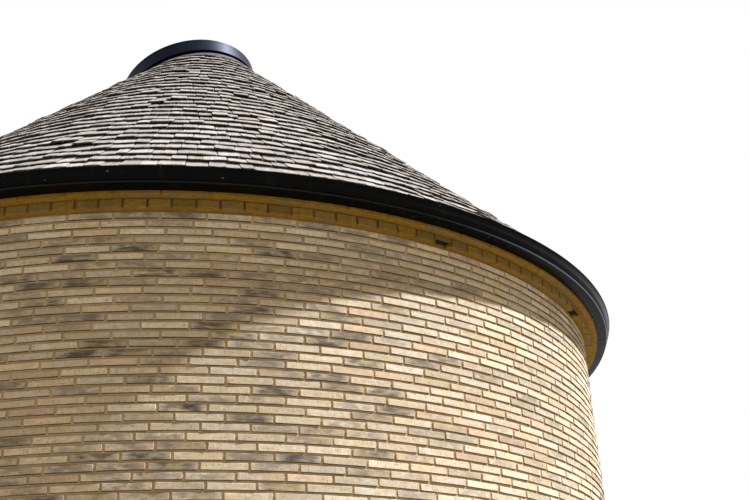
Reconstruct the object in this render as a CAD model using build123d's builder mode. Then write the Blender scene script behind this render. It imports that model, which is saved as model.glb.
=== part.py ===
from build123d import *
from math import cos, radians, sin, sqrt, tan
import os

os.makedirs("parts", exist_ok=True)

# The drum stands on level ground at z = 0 with its axis on Z. Its front is -Y and the doorway +Y.
# Angles are in degrees round Z, from +X towards +Y.

# Brickwork: long thin bricks in level courses, as a cavity wall.
brick_depth = 115
brick_height = 37
mortar_joint = 12
wall_radius = 3100
wall_courses = 88
cavity = 100
inner_leaf = 115

# Doorway through both leaves, with straight jambs.
door_width = 1100
door_courses = 45
lining_thickness = 50
lining_setback = 30
lining_projection = 70
floor_thickness = 100

# Cornice: a course of headers, then one more course, each stepping out by one corbel.
corbel = 50
header_course = 55
top_course = 52

# Eaves gutter: an ogee trough of folded sheet.
gutter_sheet = 3
gutter_drop = 34
gutter_depth = 96
gutter_width = 105
gutter_back_height = 87
gutter_sole = 70
gutter_sole_rise = 12
gutter_groove = 14
gutter_bead = 10
gutter_bead_folds = 6
gutter_belly = 6
gutter_flare = 3
gutter_turn = (0.86, 0.64)
gutter_lengths = 6
gutter_joint_angle = 265.6

# Rainwater pipe at the back.
pipe_angle = 128
pipe_diameter = 56
pipe_wall = 2
pipe_stand_off = 105
clip_height = 25
clip_thickness = 4
clip_plate = (6, 60, 100)
clip_levels = (600, 2300, 3900)

# Roof: a cone of shingles on a thick deck.
roof_pitch = 44.5
eaves_overhang = 50
eaves_rise = 102
shingle_layer = 45
deck_thickness = 180
deck_setback = 5
shingle_fields = 6
deck_quarters = 4

# Rooflight: an elliptical kerb that cuts the cone aslant and leans back and to the left.
rooflight_bearing = 120
rooflight_tilt = 16
rooflight_drop = 532
frame_overhang = 21
frame_lift = 25
frame_height = 132
frame_width = 45
upstand_wall = 60
upstand_rise = 90
rim_height = 22
rim_groove = 4
glass_thickness = 28
glass_bearing = 25
glazing_rebate = 34
flashing_sheet = 5
flashing_skirt = 80

# Radii and levels that follow from those sizes.
course = brick_height + mortar_joint
wall_top = wall_courses * course
outer_leaf_back = wall_radius - brick_depth
inner_leaf_face = outer_leaf_back - cavity
room_radius = inner_leaf_face - inner_leaf
door_head = door_courses * course
header_top = wall_top + header_course
cornice_top = header_top + top_course
header_radius = wall_radius + corbel
cornice_radius = header_radius + corbel
eaves_radius = cornice_radius + eaves_overhang
eaves_height = cornice_top + eaves_rise
deck_foot_radius = cornice_radius - deck_setback

# The roof's cones, each given by the height of its apex.
spread = 1 / tan(radians(roof_pitch))
shingle_apex = eaves_height + eaves_radius / spread
deck_apex = shingle_apex - shingle_layer / cos(radians(roof_pitch))
ceiling_apex = deck_apex - deck_thickness / cos(radians(roof_pitch))
rooflight_level = shingle_apex - rooflight_drop

# The kerb's ellipse is the section of the cone by its tilted plane, set out by the overhang.
lean = radians(rooflight_tilt)
reach = spread * (shingle_apex - rooflight_level) + frame_overhang
kerb_low = reach / (1 - spread * tan(lean))
kerb_high = reach / (1 + spread * tan(lean))
kerb_shift = (kerb_low - kerb_high) / 2
kerb_long = (kerb_low + kerb_high) / 2 / cos(lean)
kerb_short = kerb_long * sqrt(1 - (sin(lean) / sin(radians(90 - roof_pitch))) ** 2)
kerb_way = Vector(1, 0, 0).rotate(Axis.Z, rooflight_bearing)
kerb_across = Vector(1, 0, 0).rotate(Axis.Z, rooflight_bearing - 90)
kerb_plane = Plane(
    origin=kerb_way * kerb_shift + Vector(0, 0, rooflight_level - kerb_shift * tan(lean)),
    x_dir=kerb_across,
    z_dir=kerb_way * sin(lean) + Vector(0, 0, cos(lean)),
)
frame_top = frame_lift + frame_height
shaft_depth = (shingle_layer + deck_thickness) / cos(radians(roof_pitch + rooflight_tilt)) + 80
upstand_size = (kerb_short - frame_width, kerb_long - frame_width)
shaft_size = (upstand_size[0] - upstand_wall, upstand_size[1] - upstand_wall)
glass_size = (shaft_size[0] + glass_bearing, shaft_size[1] + glass_bearing)
core_radius = 0.2 * kerb_short


def save(builder, name):
    """Label the finished piece and write it to its own file."""
    builder.part.label = name
    export_step(builder.part, f"parts/{name}.step")


def radial_plane(angle):
    """Upright plane through the axis: local X runs outward at this angle, local Y is up."""
    turn = radians(angle)
    return Plane(origin=(0, 0, 0), x_dir=(cos(turn), sin(turn), 0), z_dir=(sin(turn), -cos(turn), 0))


def ring_section(inner, outer, bottom, top):
    """Rectangle from one radius to another, for a ring turned round the axis."""
    with Locations((inner, bottom)):
        Rectangle(outer - inner, top - bottom, align=(Align.MIN, Align.MIN))


def cone_radius(apex, height):
    """Radius of the roof's cone with this apex at this height."""
    return spread * (apex - height)


def cone_height(apex, radius):
    """Height of the roof's cone with this apex at this radius."""
    return apex - radius / spread


def doorway_slot(bottom, top, mode):
    """Straight-sided block through the back of the drum, as wide as the doorway."""
    with Locations((0, 0, bottom)):
        Box(
            door_width,
            wall_radius + 2 * corbel,
            top - bottom,
            align=(Align.CENTER, Align.MIN, Align.MIN),
            mode=mode,
        )


# Walls: each leaf is five sectors of 60 degrees, two piers beside the doorway and a piece over it.
sectors = {
    "front": 240,
    "front_right": 300,
    "back_right": 0,
    "back_left": 120,
    "front_left": 180,
}
for leaf, inner, outer in (
    ("brick", outer_leaf_back, wall_radius),
    ("inner", room_radius, inner_leaf_face),
):
    for side, start in sectors.items():
        with BuildPart() as wall:
            with BuildSketch(radial_plane(start)):
                ring_section(inner, outer, 0, wall_top)
            revolve(axis=Axis.Z, revolution_arc=60)
        save(wall, f"{leaf}_wall_{side}")
    for side, start in (("right", 60), ("left", 90)):
        with BuildPart() as pier:
            with BuildSketch(radial_plane(start)):
                ring_section(inner, outer, 0, wall_top)
            revolve(axis=Axis.Z, revolution_arc=30)
            doorway_slot(0, wall_top, Mode.SUBTRACT)
        save(pier, f"{leaf}_pier_{side}")
    with BuildPart() as over_door:
        with BuildSketch(radial_plane(60)):
            ring_section(inner, outer, door_head, wall_top)
        revolve(axis=Axis.Z, revolution_arc=60)
        doorway_slot(door_head, wall_top, Mode.INTERSECT)
    save(over_door, f"{leaf}_over_door")

# Floor inside the drum, and the stone that carries it out through the doorway.
with BuildPart() as floor_slab:
    Cylinder(room_radius, floor_thickness, align=(Align.CENTER, Align.CENTER, Align.MIN))
save(floor_slab, "floor_slab")

with BuildPart() as threshold:
    with BuildSketch(radial_plane(60)):
        ring_section(room_radius, wall_radius, 0, floor_thickness)
    revolve(axis=Axis.Z, revolution_arc=60)
    doorway_slot(0, floor_thickness, Mode.INTERSECT)
save(threshold, "threshold")

# Door lining: two jambs and a head that close the cavity round the doorway.
jamb_face = sqrt(wall_radius**2 - (door_width / 2) ** 2)
lining_outer_face = jamb_face - lining_setback
lining_inner_face = room_radius - lining_projection
with BuildPart() as door_lining:
    with BuildSketch(Plane.XZ.offset(-lining_outer_face)):
        with Locations((0, floor_thickness)):
            Rectangle(door_width, door_head - floor_thickness, align=(Align.CENTER, Align.MIN))
            Rectangle(
                door_width - 2 * lining_thickness,
                door_head - floor_thickness - lining_thickness,
                align=(Align.CENTER, Align.MIN),
                mode=Mode.SUBTRACT,
            )
    extrude(amount=lining_outer_face - lining_inner_face)
save(door_lining, "door_lining")

# Cornice, and the ring beam behind it that closes the cavity and carries the roof.
with BuildPart() as cornice_header_course:
    with BuildSketch(radial_plane(0)):
        ring_section(outer_leaf_back, header_radius, wall_top, header_top)
    revolve(axis=Axis.Z)
save(cornice_header_course, "cornice_header_course")

with BuildPart() as cornice_top_course:
    with BuildSketch(radial_plane(0)):
        ring_section(outer_leaf_back, cornice_radius, header_top, cornice_top)
    revolve(axis=Axis.Z)
save(cornice_top_course, "cornice_top_course")

with BuildPart() as ring_beam:
    with BuildSketch(radial_plane(0)):
        ring_section(room_radius, outer_leaf_back, wall_top, cornice_top)
    revolve(axis=Axis.Z)
save(ring_beam, "ring_beam")


def cut_at_kerb(level):
    """Cut a roof layer flat under the kerb and open the oblique shaft through it."""
    split(bisect_by=kerb_plane.offset(level), keep=Keep.BOTTOM)
    with BuildSketch(kerb_plane.offset(upstand_rise)) as shaft:
        Ellipse(*upstand_size)
    extrude(shaft.sketch, amount=-(upstand_rise + shaft_depth), mode=Mode.SUBTRACT)


# Roof deck: its foot stands on the cornice and ring beam, its inside is the conical ceiling.
deck_profile = (
    (room_radius, cornice_top),
    (deck_foot_radius, cornice_top),
    (deck_foot_radius, cone_height(deck_apex, deck_foot_radius)),
    (core_radius, cone_height(deck_apex, core_radius)),
    (core_radius, cone_height(ceiling_apex, core_radius)),
    (room_radius, cone_height(ceiling_apex, room_radius)),
)
quarter = 360 / deck_quarters
for number in range(deck_quarters):
    with BuildPart() as roof_deck:
        with BuildSketch(radial_plane(quarter * (number + 0.5))):
            with BuildLine():
                Polyline(*deck_profile, close=True)
            make_face()
        revolve(axis=Axis.Z, revolution_arc=quarter)
        cut_at_kerb(-flashing_sheet)
    save(roof_deck, f"roof_deck_{number + 1}")

# Shingle fields: one even layer on the deck, with its butt square to the slope at the eaves.
butt_in = shingle_layer * sin(radians(roof_pitch))
shingle_profile = (
    (eaves_radius, eaves_height),
    (core_radius, cone_height(shingle_apex, core_radius)),
    (core_radius, cone_height(deck_apex, core_radius)),
    (eaves_radius - butt_in, cone_height(deck_apex, eaves_radius - butt_in)),
)
field = 360 / shingle_fields
for number in range(shingle_fields):
    with BuildPart() as shingle_field:
        with BuildSketch(radial_plane(field * number)):
            with BuildLine():
                Polyline(*shingle_profile, close=True)
            make_face()
        revolve(axis=Axis.Z, revolution_arc=field)
        cut_at_kerb(-flashing_sheet)
    save(shingle_field, f"shingle_field_{number + 1}")

# Gutter: the ogee sheet is drawn as one line, thickened inward and turned round the axis.
gutter_bottom = cornice_top - gutter_drop
gutter_mid = (
    cornice_radius + gutter_turn[0] * gutter_width,
    gutter_bottom + gutter_turn[1] * gutter_depth,
)
gutter_lip = (cornice_radius + gutter_width, gutter_bottom + gutter_depth)
groove_top = (cornice_radius + gutter_sole, gutter_bottom + gutter_sole_rise + gutter_groove)
pipe_radius = wall_radius + pipe_stand_off + pipe_diameter / 2
pipe_place = (pipe_radius * cos(radians(pipe_angle)), pipe_radius * sin(radians(pipe_angle)))
pipe_top = gutter_bottom + gutter_sole_rise + 2 * gutter_sheet
length_angle = 360 / gutter_lengths
for number in range(gutter_lengths):
    start = gutter_joint_angle + number * length_angle
    with BuildPart() as gutter:
        with BuildSketch(radial_plane(start)):
            with BuildLine():
                back = Line(
                    (cornice_radius, gutter_bottom + gutter_back_height),
                    (cornice_radius, gutter_bottom),
                )
                sole = Line(back @ 1, (groove_top[0], gutter_bottom + gutter_sole_rise))
                groove = Line(sole @ 1, groove_top)
                belly = SagittaArc(groove @ 1, gutter_mid, -gutter_belly)
                flare = SagittaArc(belly @ 1, gutter_lip, gutter_flare)
                offset(amount=gutter_sheet, side=Side.LEFT)
            make_face()
            with Locations((groove_top[0], gutter_bottom + gutter_sole_rise + gutter_bead / 2)):
                RegularPolygon(gutter_bead / 2, gutter_bead_folds)
        revolve(axis=Axis.Z, revolution_arc=length_angle)
        if (pipe_angle - start) % 360 < length_angle:
            with Locations((*pipe_place, gutter_bottom)):
                Cylinder(pipe_diameter / 2, 2 * gutter_sole, mode=Mode.SUBTRACT)
    save(gutter, f"gutter_length_{number + 1}")

# Rainwater pipe: straight down from its hole in the gutter's sole to the ground.
with BuildPart() as rainwater_pipe:
    with BuildSketch(Plane.XY):
        with Locations(pipe_place):
            Circle(pipe_diameter / 2)
            Circle(pipe_diameter / 2 - pipe_wall, mode=Mode.SUBTRACT)
    extrude(amount=pipe_top)
save(rainwater_pipe, "rainwater_pipe")

# Pipe clips: a ring round the pipe, an arm and a plate flat against the wall.
clip_radius = pipe_diameter / 2 + clip_thickness
with BuildPart() as pipe_clips:
    for level in clip_levels:
        clip_plane = Plane(
            origin=(0, 0, level),
            x_dir=(cos(radians(pipe_angle)), sin(radians(pipe_angle)), 0),
            z_dir=(0, 0, 1),
        )
        with BuildSketch(clip_plane):
            with Locations((pipe_radius, 0)):
                Circle(clip_radius)
            with Locations((wall_radius, 0)):
                Rectangle(pipe_stand_off, clip_height, align=(Align.MIN, Align.CENTER))
            with Locations((pipe_radius, 0)):
                Circle(pipe_diameter / 2, mode=Mode.SUBTRACT)
        extrude(amount=clip_height / 2, both=True)
        with BuildSketch(clip_plane):
            with Locations((wall_radius, 0)):
                Rectangle(clip_plate[0], clip_plate[1], align=(Align.MIN, Align.CENTER))
        extrude(amount=clip_plate[2] / 2, both=True)
save(pipe_clips, "pipe_clips")

# Rooflight upstand: an oblique elliptical tube that ends flush with the conical ceiling.
with BuildPart() as rooflight_upstand:
    with BuildSketch(kerb_plane.offset(upstand_rise)):
        Ellipse(*upstand_size)
        Ellipse(*shaft_size, mode=Mode.SUBTRACT)
    extrude(amount=-(upstand_rise + shaft_depth))
    with BuildSketch(radial_plane(0)):
        with BuildLine():
            Polyline(
                (0, wall_top),
                (cone_radius(ceiling_apex, wall_top), wall_top),
                (0, ceiling_apex),
                close=True,
            )
        make_face()
    revolve(axis=Axis.Z, mode=Mode.SUBTRACT)
save(rooflight_upstand, "rooflight_upstand")

# Rooflight frame: a band hung round the upstand's head, a ledge over it and a rebate for the glass.
with BuildPart() as rooflight_frame:
    with BuildSketch(kerb_plane.offset(frame_lift)):
        Ellipse(kerb_short, kerb_long)
    extrude(amount=frame_height)
    with BuildSketch(kerb_plane):
        Ellipse(*upstand_size)
    extrude(amount=upstand_rise, mode=Mode.SUBTRACT)
    with BuildSketch(kerb_plane):
        Ellipse(*shaft_size)
    extrude(amount=frame_top, mode=Mode.SUBTRACT)
    with BuildSketch(kerb_plane.offset(frame_top)):
        Ellipse(*glass_size)
    extrude(amount=-glazing_rebate, mode=Mode.SUBTRACT)
    with BuildSketch(kerb_plane.offset(frame_top - rim_height)):
        Ellipse(kerb_short, kerb_long)
        Ellipse(kerb_short - rim_groove, kerb_long - rim_groove, mode=Mode.SUBTRACT)
    extrude(amount=-rim_groove, mode=Mode.SUBTRACT)
save(rooflight_frame, "rooflight_frame")

with BuildPart() as rooflight_glass:
    with BuildSketch(kerb_plane.offset(frame_top - glazing_rebate)):
        Ellipse(*glass_size)
    extrude(amount=glass_thickness)
save(rooflight_glass, "rooflight_glass")

# Lead flashing: a sheet laid flat under the frame and dressed down over the shingles.
flashing_apex = shingle_apex + flashing_sheet / cos(radians(roof_pitch))
skirt_out = flashing_skirt * cos(radians(roof_pitch))
roof_foot = rooflight_level - 2 * kerb_long
with BuildPart() as shingle_cone:
    with BuildSketch(radial_plane(0)):
        with BuildLine():
            Polyline(
                (0, roof_foot),
                (cone_radius(shingle_apex, roof_foot), roof_foot),
                (0, shingle_apex),
                close=True,
            )
        make_face()
    revolve(axis=Axis.Z)
    split(bisect_by=kerb_plane.offset(-flashing_sheet), keep=Keep.BOTTOM)

with BuildPart() as lead_flashing:
    with BuildSketch(radial_plane(0)):
        with BuildLine():
            Polyline(
                (0, roof_foot),
                (cone_radius(flashing_apex, roof_foot), roof_foot),
                (0, flashing_apex),
                close=True,
            )
        make_face()
    revolve(axis=Axis.Z)
    split(bisect_by=kerb_plane, keep=Keep.BOTTOM)
    add(shingle_cone.part, mode=Mode.SUBTRACT)
    skirt_middle = kerb_way * kerb_shift + Vector(0, 0, roof_foot)
    with BuildSketch(Plane(origin=skirt_middle, x_dir=kerb_across, z_dir=(0, 0, 1))):
        Ellipse(kerb_short + skirt_out, (kerb_low + kerb_high) / 2 + skirt_out)
    extrude(amount=shingle_apex - roof_foot, mode=Mode.INTERSECT)
    with BuildSketch(kerb_plane.offset(upstand_rise)):
        Ellipse(*upstand_size)
    extrude(amount=-(upstand_rise + shaft_depth), mode=Mode.SUBTRACT)
save(lead_flashing, "lead_flashing")
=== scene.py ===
from math import asin, atan, cos, degrees, pi, radians, sin, sqrt, tan

import bmesh
import bpy
import numpy as np
from mathutils import Matrix, Vector


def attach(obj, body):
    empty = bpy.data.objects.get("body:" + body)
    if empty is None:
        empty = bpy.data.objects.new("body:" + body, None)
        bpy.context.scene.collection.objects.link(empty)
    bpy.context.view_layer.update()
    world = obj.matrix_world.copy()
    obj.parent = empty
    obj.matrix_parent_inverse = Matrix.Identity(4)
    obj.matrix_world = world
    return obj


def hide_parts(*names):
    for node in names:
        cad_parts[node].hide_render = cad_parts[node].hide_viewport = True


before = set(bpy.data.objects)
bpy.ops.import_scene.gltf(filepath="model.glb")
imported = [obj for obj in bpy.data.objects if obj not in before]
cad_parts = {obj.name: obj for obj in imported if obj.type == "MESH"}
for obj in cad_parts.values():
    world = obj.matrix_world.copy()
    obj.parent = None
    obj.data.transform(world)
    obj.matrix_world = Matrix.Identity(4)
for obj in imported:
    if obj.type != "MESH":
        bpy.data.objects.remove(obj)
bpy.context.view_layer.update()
scene = bpy.context.scene


# Camera and studio.
# The photograph looks up at the eaves from near the ground, a little left of the front.
# A far lamp shines from where its sun stood, over a pale floor, with even light from all round.
EYE = (-2.148, -8.016, 1.619)
HEADING, LOOK_UP, ROLL = radians(25.37), radians(25.33), -0.04304
LENS, FILM = 50.89, 36.0
LAMP_WAY, LAMP_SPREAD, LAMP_POWER = (0.481, -0.256, 0.839), radians(1.5), 8.5
LAMP_COLOUR = (0.955, 0.985, 1.115)
SKY_LIGHT, SKY_COLOUR = 0.2, (1.08, 0.94, 0.64)
FLOOR_SIZE = 60.0


def srgb(red, green, blue):
    """A colour given in 0-255 screen values, as linear red, green and blue, and full cover."""
    level = [c / 255 for c in (red, green, blue)]
    return (*[c / 12.92 if c <= 0.04045 else ((c + 0.055) / 1.055) ** 2.4 for c in level], 1.0)


def node(tree, kind, sockets=(), **settings):
    """Add a shader node; each socket takes a value or another node's output."""
    made = tree.nodes.new("ShaderNode" + kind)
    for key, value in settings.items():
        setattr(made, key, value)
    for key, value in dict(sockets).items():
        if isinstance(value, bpy.types.NodeSocket):
            tree.links.new(value, made.inputs[key])
        else:
            made.inputs[key].default_value = value
    return made


def over(tree, share, under, upper, mode="MIX"):
    """Lay one colour over another by a share."""
    sockets = {0: share, 6: under, 7: upper}
    return node(tree, "Mix", sockets, data_type="RGBA", blend_type=mode).outputs[2]


def sums(tree, operation, first, second=0.5, third=0.5):
    """One step of arithmetic on the values of a pattern."""
    return node(tree, "Math", {0: first, 1: second, 2: third}, operation=operation).outputs[0]


def shades(tree, value, *stops):
    """Colours along a scale; each stop is a place and a colour in screen values."""
    scale = node(tree, "ValToRGB", {0: value})
    marks = scale.color_ramp.elements
    while len(marks) < len(stops):
        marks.new(0.5)
    for mark, (place, colour) in zip(marks, stops):
        mark.position = place
        mark.color = srgb(*colour)
    return scale.outputs[0]


def cloud(tree, where, scale, detail=3.0, roughness=0.55, distortion=0.0):
    """Soft random pattern of a size, 0 to 1."""
    settings = {"Vector": where, "Scale": scale, "Detail": detail, "Roughness": roughness}
    return node(tree, "TexNoise", {**settings, "Distortion": distortion}).outputs[0]


def finish(name, roughness=0.6, **settings):
    """Start a material: its nodes, its shader and the object's own coordinates."""
    material = bpy.data.materials.new(name)
    material.use_nodes = True
    tree = material.node_tree
    shader = tree.nodes["Principled BSDF"]
    shader.inputs["Roughness"].default_value = roughness
    for key, value in settings.items():
        shader.inputs[key.replace("_", " ")].default_value = value
    return material, tree, shader, node(tree, "TexCoord").outputs["Object"]


def grain(tree, shader, height, strength, depth):
    """Give the shader relief from a pattern, depth metres high."""
    bump = node(tree, "Bump", {"Height": height, "Strength": strength, "Distance": depth})
    tree.links.new(bump.outputs[0], shader.inputs["Normal"])


def colours(tree, shader, colour, rough=None):
    """Give the shader its pattern of colour and, if there is one, of roughness."""
    tree.links.new(colour, shader.inputs["Base Color"])
    if rough is not None:
        tree.links.new(rough, shader.inputs["Roughness"])


def keep(bm, name, material, smooth=False):
    """Turn a bmesh into an object of one material that stands with the building."""
    mesh = bpy.data.meshes.new(name)
    bm.to_mesh(mesh)
    bm.free()
    return stand(mesh, name, material, smooth)


def stand(mesh, name, material, smooth=False):
    """Make a mesh a piece of the building."""
    mesh.materials.append(material)
    mesh.polygons.foreach_set("use_smooth", [smooth] * len(mesh.polygons))
    piece = bpy.data.objects.new(name, mesh)
    scene.collection.objects.link(piece)
    return piece


camera = bpy.data.objects.new("camera", bpy.data.cameras.new("camera"))
camera.data.lens = LENS
camera.data.sensor_width = FILM
camera.matrix_world = (
    Matrix.Translation(EYE)
    @ Matrix.Rotation(-HEADING, 4, "Z")
    @ Matrix.Rotation(radians(90) + LOOK_UP, 4, "X")
    @ Matrix.Rotation(ROLL, 4, "Z")
)
scene.collection.objects.link(camera)
scene.camera = camera

lamp = bpy.data.objects.new("lamp", bpy.data.lights.new("lamp", "SUN"))
lamp.data.angle = LAMP_SPREAD
lamp.data.energy = LAMP_POWER
lamp.data.color = LAMP_COLOUR
lamp.rotation_euler = Vector(LAMP_WAY).to_track_quat("Z", "Y").to_euler()
scene.collection.objects.link(lamp)

scene.view_settings.view_transform = "Standard"
world = bpy.data.worlds.new("studio")
world.use_nodes = True
scene.world = world
studio = world.node_tree
rays = node(studio, "LightPath").outputs
seen = sums(studio, "MAXIMUM", rays["Is Camera Ray"], rays["Is Glossy Ray"])
seen = sums(studio, "MAXIMUM", seen, rays["Is Transmission Ray"])
backdrop = studio.nodes["Background"]
even_light = (*[SKY_LIGHT * part for part in SKY_COLOUR], 1.0)
studio.links.new(over(studio, seen, even_light, (1.0, 1.0, 1.0, 1.0)), backdrop.inputs[0])

floor_finish, tree, shader, where = finish("studio_floor", 0.9, Specular_IOR_Level=0.05)
tone = shades(tree, cloud(tree, where, 0.6), (0.3, (157, 151, 140)), (0.7, (162, 156, 145)))
colours(tree, shader, tone)
grain(tree, shader, cloud(tree, where, 40.0), 0.1, 0.002)
bm = bmesh.new()
bmesh.ops.create_grid(bm, x_segments=2, y_segments=2, size=FLOOR_SIZE)
floor = keep(bm, "studio_floor", floor_finish)


# Brick walls.
# Long thin hand-moulded stretchers of buff clay, 78 to a turn and 88 courses high, each course
# stepped along from the one below. The mortar is struck a few millimetres behind their faces, and
# bricks that the kiln has darkened grow fewer towards the right. That thinning is painted light:
# it leaves the side the lamp lights paler.
WALL_FACE = 3.1
WALL_BACK = 2.985
WALL_TOP = 4.312
COURSE = 0.049
COURSES = 88
STRETCHERS = 78
BRICK = (0.2345, 0.037, 0.098)
STEP = 360 / STRETCHERS
BOND = (0.35, 0.87, 0.59, 0.01)
JOINT_FILL = (0.0185, 0.037, 0.03)
JOINT_RAKE, FILL_RAKE = 0.0055, 0.0045
VENT_COURSE = 3
DOOR_HALF = 0.55
DOOR_HEAD = 2.205
DOOR_COURSES = 45
JAMB_ANGLE = degrees(asin(DOOR_HALF / WALL_FACE))
# In degrees: beside the doorway a brick shorter than the spare is left out, and the one before it
# runs past the jamb, to be sawn off flush.
JAMB_SPARE, JAMB_NEAR, JAMB_OVERRUN = 1.3, 0.4, 1.5
PIER_SWEEP, HEAD_JOINT = 24, 0.006
SIDES = {4: "front", 5: "front_right", 0: "back_right", 2: "back_left", 3: "front_left"}
JAMB_NODES = ("brick_pier_right", "brick_pier_left", "brick_over_door")


def fade(tree, value, start, end):
    """0 before start and 1 past end, with a soft step between them."""
    step = node(tree, "MapRange", {0: value, 1: start, 2: end}, interpolation_type="SMOOTHSTEP")
    return step.outputs[0]


def stain(tree, under, amount, share, colour):
    """Lay a colour in screen values over another by an amount, and by a share at the most."""
    return over(tree, sums(tree, "MULTIPLY", amount, share), under, srgb(*colour))


def stretched(tree, where, by, shift=(0.0, 0.0, 0.0)):
    """The same place, scaled by three factors and moved, so that a pattern runs one way."""
    sockets = {0: where, 1: by, 2: shift}
    return node(tree, "VectorMath", sockets, operation="MULTIPLY_ADD").outputs[0]


def apart(tree, vector):
    """The three parts of a vector."""
    return node(tree, "SeparateXYZ", {0: vector}).outputs


def held(tree, name):
    """A mark that the mesh carries on its points."""
    return node(tree, "Attribute", attribute_name=name).outputs["Vector"]


def scattered(tree, own, marks, spread):
    """A copy's own places, moved by its marks so that no two copies share a pattern."""
    away = node(tree, "VectorMath", {0: marks, 3: spread}, operation="SCALE").outputs[0]
    return stretched(tree, own, (1.0, 1.0, 1.0), away)


def brick_unit(seed, size, round_edge=0.0016, wander=0.0011):
    """One moulded brick: a block with worn front edges, its face at z = 0."""
    chance = np.random.default_rng(seed)
    bm = bmesh.new()
    bmesh.ops.create_cube(bm, size=1.0)
    bmesh.ops.scale(bm, vec=size, verts=bm.verts)
    bmesh.ops.translate(bm, vec=(0, 0, -size[2] / 2), verts=bm.verts)
    for corner in bm.verts:
        if corner.co.z > -1e-4:
            corner.co += Vector(chance.uniform(-wander, wander, 3) * (1.6, 1.0, 0.6))
    rim = [e for e in bm.edges if all(v.co.z > -size[2] / 2 for v in e.verts)]
    bmesh.ops.bevel(
        bm, geom=rim, offset=round_edge, offset_type="OFFSET", affect="EDGES",
        segments=1, profile=0.5, material=-1,
    )
    bmesh.ops.recalc_face_normals(bm, faces=bm.faces)
    mesh = bpy.data.meshes.new("unit")
    bm.to_mesh(mesh)
    bm.free()
    return mesh


def stations(angles, radii, heights, leans=0.0, rolls=0.0, turns=0.0):
    """Where copies stand round the drum: along it, up its face and out of it, and the place.

    Angles in degrees. A lean tips the face back to look up, a roll turns a copy in its face,
    and a turn swings its face round to one side.
    """
    angles, radii, heights, leans, rolls, turns = np.broadcast_arrays(
        angles, radii, heights, leans, rolls, turns
    )
    around, tip, roll, turn = (np.radians(a) for a in (angles, leans, rolls, turns))
    c, s, ct, st, zero = np.cos(around), np.sin(around), np.cos(tip), np.sin(tip), 0 * around
    along = np.stack([-s, c, zero], -1)
    up = np.stack([-st * c, -st * s, ct], -1)
    out = np.stack([ct * c, ct * s, st], -1)
    along, out = (
        along * np.cos(turn)[:, None] + out * np.sin(turn)[:, None],
        out * np.cos(turn)[:, None] - along * np.sin(turn)[:, None],
    )
    along, up = (
        along * np.cos(roll)[:, None] + up * np.sin(roll)[:, None],
        up * np.cos(roll)[:, None] - along * np.sin(roll)[:, None],
    )
    place = np.stack([radii * c, radii * s, heights], -1)
    return np.stack([along, up, out, place], -1)


def lay(name, units, picks, places, sizes, marks, taper=None):
    """Join many copies of a few like units into one mesh, each with its own marks."""
    count, first = len(picks), units[0]
    points, corners, faces = len(first.vertices), len(first.loops), len(first.polygons)
    shapes = np.empty((len(units), points * 3))
    for row, unit in enumerate(units):
        unit.vertices.foreach_get("co", shapes[row])
    own = shapes.reshape(-1, points, 3)[picks] * sizes[:, None, :]
    if taper is not None:
        own[:, :, 0] *= 1 - own[:, :, 1] * taper[:, None]
    spots = np.einsum("nij,nvj->nvi", places[:, :, :3], own) + places[:, None, :, 3]
    corner_of, start_of = np.empty(corners, int), np.empty(faces, int)
    first.loops.foreach_get("vertex_index", corner_of)
    first.polygons.foreach_get("loop_start", start_of)
    step = np.arange(count)[:, None]
    mesh = bpy.data.meshes.new(name)
    mesh.vertices.add(count * points)
    mesh.loops.add(count * corners)
    mesh.polygons.add(count * faces)
    mesh.vertices.foreach_set("co", spots.ravel())
    mesh.loops.foreach_set("vertex_index", (corner_of + step * points).ravel())
    mesh.polygons.foreach_set("loop_start", (start_of + step * corners).ravel())
    for layer, values in (("marks", np.repeat(marks, points, axis=0)), ("own", own)):
        carried = mesh.attributes.new(layer, "FLOAT_VECTOR", "POINT")
        carried.data.foreach_set("vector", values.ravel())
    mesh.update(calc_edges=True)
    return mesh


def ring_block(bm, inner, outer, bottom, top, start, sweep):
    """A block of a ring: its section, spun round the axis from one angle through another."""
    at = Matrix.Rotation(radians(start), 3, "Z")
    corners = ((inner, bottom), (outer, bottom), (outer, top), (inner, top))
    section = bm.faces.new([bm.verts.new(at @ Vector((r, 0, z))) for r, z in corners])
    geom = [section, *section.edges, *section.verts]
    bmesh.ops.spin(
        bm, geom=geom, cent=(0, 0, 0), axis=(0, 0, 1), angle=radians(sweep),
        steps=max(1, round(sweep)), use_duplicate=False,
    )


def trim_jambs(bm, half, top):
    """Saw off what reaches into the doorway, and close the cut ends."""
    for way in (1, -1):
        middles = [(f, f.calc_center_median()) for f in bm.faces]
        near = [f for f, at in middles if at.z < top and at.x * way > 0]
        near_edges = {e for f in near for e in f.edges}
        near_points = {v for f in near for v in f.verts}
        bmesh.ops.bisect_plane(
            bm, geom=[*near, *near_edges, *near_points], dist=1e-6, plane_co=(way * half, 0, 0),
            plane_no=(way, 0, 0), clear_inner=True,
        )
    bmesh.ops.holes_fill(bm, edges=[e for e in bm.edges if e.is_boundary], sides=0)


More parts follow.
